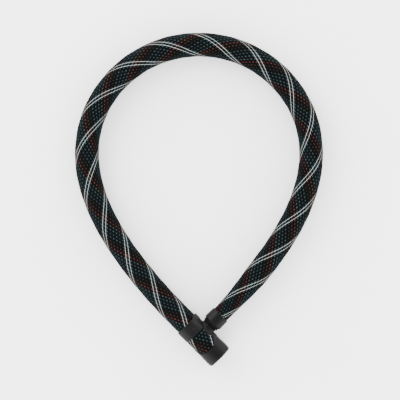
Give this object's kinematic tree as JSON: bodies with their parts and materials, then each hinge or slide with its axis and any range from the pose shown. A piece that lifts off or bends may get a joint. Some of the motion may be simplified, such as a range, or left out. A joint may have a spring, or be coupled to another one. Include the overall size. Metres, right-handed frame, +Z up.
{
  "type": "chain lock",
  "caption": "Closed chain lock: a loop of square links in a woven textile sleeve, with a cylinder lock at one end and a plug-in bolt at the other.",
  "frame": {"origin": "middle of the loop in plan, on the surface that the lock lies on", "axes": "+Z up, +Y from the lock to the top of the loop, X across the loop"},
  "size_m": [0.2552, 0.3433, 0.0276],
  "materials": {
    "housing_metal": "cast zinc housing with a dark coating",
    "lock_plastic": "satin charcoal moulded plastic",
    "bezel_plastic": "satin dark grey moulded plastic",
    "textile": "tightly woven polyester sleeve, near black with coloured yarns",
    "hardened_steel": "hardened steel with a light zinc finish",
    "bolt_steel": "turned hardened steel",
    "brass": "turned brass",
    "spring_steel": "plain spring steel",
    "seal_rubber": "black rubber"
  },
  "bodies": {
    "lock_body": {"lock_housing": "housing_metal", "front_collar": "lock_plastic", "body_sleeve": "textile", "end_cap": "lock_plastic", "socket_bezel": "bezel_plastic", "socket_bush": "hardened_steel", "chain_anchor_pin": "hardened_steel", "anchor_link": "hardened_steel", "sleeve_lead": "textile", "cylinder_shell": "brass", "cylinder_pin": "spring_steel"},
    "bolt": {"locking_bolt": "bolt_steel", "seal_ring": "seal_rubber", "bolt_ferrule": "bezel_plastic", "bolt_tail": "hardened_steel", "tail_pin": "spring_steel", "sleeve_tail": "textile"},
    "plug": {"cylinder_plug": "brass", "key_wafers": "brass", "plug_clip": "spring_steel", "cam_disc": "spring_steel", "shutter_pin": "spring_steel"},
    "latch": {"latch_fork": "hardened_steel"},
    "shutter": {"keyhole_shutter": "spring_steel"},
    "chain_01": {"link_pair_01": "hardened_steel", "sleeve_01": "textile"},
    "chain_02": {"link_pair_02": "hardened_steel", "sleeve_02": "textile"},
    "chain_03": {"link_pair_03": "hardened_steel", "sleeve_03": "textile"},
    "chain_04": {"link_pair_04": "hardened_steel", "sleeve_04": "textile"},
    "chain_05": {"link_pair_05": "hardened_steel", "sleeve_05": "textile"},
    "chain_06": {"link_pair_06": "hardened_steel", "sleeve_06": "textile"},
    "chain_07": {"link_pair_07": "hardened_steel", "sleeve_07": "textile"},
    "chain_08": {"link_pair_08": "hardened_steel", "sleeve_08": "textile"},
    "chain_09": {"link_pair_09": "hardened_steel", "sleeve_09": "textile"},
    "chain_10": {"link_pair_10": "hardened_steel", "sleeve_10": "textile"},
    "chain_11": {"link_pair_11": "hardened_steel", "sleeve_11": "textile"},
    "chain_12": {"link_pair_12": "hardened_steel", "sleeve_12": "textile"},
    "chain_13": {"link_pair_13": "hardened_steel", "sleeve_13": "textile"},
    "chain_14": {"link_pair_14": "hardened_steel", "sleeve_14": "textile"},
    "chain_15": {"link_pair_15": "hardened_steel", "sleeve_15": "textile"},
    "chain_16": {"link_pair_16": "hardened_steel", "sleeve_16": "textile"},
    "chain_17": {"link_pair_17": "hardened_steel", "sleeve_17": "textile"}
  },
  "joints": [
    {"name": "bolt_slide", "type": "slide", "parent": "lock_body", "child": "bolt", "axis": [0.7071, 0.7071, 0], "range_m": [0, 0.028]},
    {"name": "plug_turn", "type": "hinge", "parent": "lock_body", "child": "plug", "pos_m": [0.01414, -0.15473, 0.0138], "axis": [-0.7071, 0.7071, 0], "range_deg": [0, 90]},
    {"name": "latch_lift", "type": "slide", "parent": "lock_body", "child": "latch", "axis": [0, 0, 1], "range_m": [0, 0.00368]},
    {"name": "shutter_swing", "type": "hinge", "parent": "plug", "child": "shutter", "pos_m": [0.02065, -0.16123, 0.0167], "axis": [0.7071, 0.7071, 0], "range_deg": [0, 78], "stiffness_Nm_per_rad": 0.0004},
    {"name": "chain_turn_01", "type": "hinge", "parent": "lock_body", "child": "chain_01", "pos_m": [-0.02289, -0.1177, 0.0138], "axis": [0, 0, 1], "range_deg": [-2.16, 0]},
    {"name": "chain_turn_02", "type": "hinge", "parent": "chain_01", "child": "chain_02", "pos_m": [-0.05098, -0.08731, 0.0138], "axis": [0, 0, 1], "range_deg": [-1.32, 0]},
    {"name": "chain_turn_03", "type": "hinge", "parent": "chain_02", "child": "chain_03", "pos_m": [-0.07646, -0.05469, 0.0138], "axis": [0, 0, 1], "range_deg": [-0.303, 0]},
    {"name": "chain_turn_04", "type": "hinge", "parent": "chain_03", "child": "chain_04", "pos_m": [-0.09792, -0.01933, 0.0138], "axis": [0, 0, 1], "range_deg": [0, 0.671]},
    {"name": "chain_turn_05", "type": "hinge", "parent": "chain_04", "child": "chain_05", "pos_m": [-0.11222, 0.01942, 0.0138], "axis": [0, 0, 1], "range_deg": [0, 1.42]},
    {"name": "chain_turn_06", "type": "hinge", "parent": "chain_05", "child": "chain_06", "pos_m": [-0.11473, 0.06053, 0.0138], "axis": [0, 0, 1], "range_deg": [0, 1.84]},
    {"name": "chain_turn_07", "type": "hinge", "parent": "chain_06", "child": "chain_07", "pos_m": [-0.10219, 0.09971, 0.0138], "axis": [0, 0, 1], "range_deg": [0, 1.9]},
    {"name": "chain_turn_08", "type": "hinge", "parent": "chain_07", "child": "chain_08", "pos_m": [-0.07614, 0.1316, 0.0138], "axis": [0, 0, 1], "range_deg": [0, 1.68]},
    {"name": "chain_turn_09", "type": "hinge", "parent": "chain_08", "child": "chain_09", "pos_m": [-0.04056, 0.15234, 0.0138], "axis": [0, 0, 1], "range_deg": [0, 1.25]},
    {"name": "chain_turn_10", "type": "hinge", "parent": "chain_11", "child": "chain_10", "pos_m": [0.04056, 0.15234, 0.0138], "axis": [0, 0, 1], "range_deg": [-0.473, 0]},
    {"name": "chain_turn_11", "type": "hinge", "parent": "chain_12", "child": "chain_11", "pos_m": [0.07614, 0.1316, 0.0138], "axis": [0, 0, 1], "range_deg": [0, 0.082]},
    {"name": "chain_turn_12", "type": "hinge", "parent": "chain_13", "child": "chain_12", "pos_m": [0.10219, 0.09971, 0.0138], "axis": [0, 0, 1], "range_deg": [0, 0.527]},
    {"name": "chain_turn_13", "type": "hinge", "parent": "chain_14", "child": "chain_13", "pos_m": [0.11473, 0.06053, 0.0138], "axis": [0, 0, 1], "range_deg": [0, 0.876]},
    {"name": "chain_turn_14", "type": "hinge", "parent": "chain_15", "child": "chain_14", "pos_m": [0.11222, 0.01942, 0.0138], "axis": [0, 0, 1], "range_deg": [0, 1.08]},
    {"name": "chain_turn_15", "type": "hinge", "parent": "chain_16", "child": "chain_15", "pos_m": [0.09792, -0.01933, 0.0138], "axis": [0, 0, 1], "range_deg": [0, 1.11]},
    {"name": "chain_turn_16", "type": "hinge", "parent": "chain_17", "child": "chain_16", "pos_m": [0.07646, -0.05469, 0.0138], "axis": [0, 0, 1], "range_deg": [0, 0.993]},
    {"name": "chain_turn_17", "type": "hinge", "parent": "bolt", "child": "chain_17", "pos_m": [0.05098, -0.08731, 0.0138], "axis": [0, 0, 1], "range_deg": [0, 0.799]}
  ],
  "couplings": [
    {"joint": "plug_turn", "follows": "latch_lift", "rad_per_m": 427.19},
    {"joint": "chain_turn_01", "follows": "bolt_slide", "rad_per_m": -1.315},
    {"joint": "chain_turn_02", "follows": "bolt_slide", "rad_per_m": -0.798},
    {"joint": "chain_turn_03", "follows": "bolt_slide", "rad_per_m": -0.179},
    {"joint": "chain_turn_04", "follows": "bolt_slide", "rad_per_m": 0.404},
    {"joint": "chain_turn_05", "follows": "bolt_slide", "rad_per_m": 0.86},
    {"joint": "chain_turn_06", "follows": "bolt_slide", "rad_per_m": 1.116},
    {"joint": "chain_turn_07", "follows": "bolt_slide", "rad_per_m": 1.153},
    {"joint": "chain_turn_08", "follows": "bolt_slide", "rad_per_m": 1.018},
    {"joint": "chain_turn_09", "follows": "bolt_slide", "rad_per_m": 0.757},
    {"joint": "chain_turn_10", "follows": "bolt_slide", "rad_per_m": -0.283},
    {"joint": "chain_turn_11", "follows": "bolt_slide", "rad_per_m": 0.044},
    {"joint": "chain_turn_12", "follows": "bolt_slide", "rad_per_m": 0.316},
    {"joint": "chain_turn_13", "follows": "bolt_slide", "rad_per_m": 0.529},
    {"joint": "chain_turn_14", "follows": "bolt_slide", "rad_per_m": 0.653},
    {"joint": "chain_turn_15", "follows": "bolt_slide", "rad_per_m": 0.674},
    {"joint": "chain_turn_16", "follows": "bolt_slide", "rad_per_m": 0.601},
    {"joint": "chain_turn_17", "follows": "bolt_slide", "rad_per_m": 0.482}
  ]
}
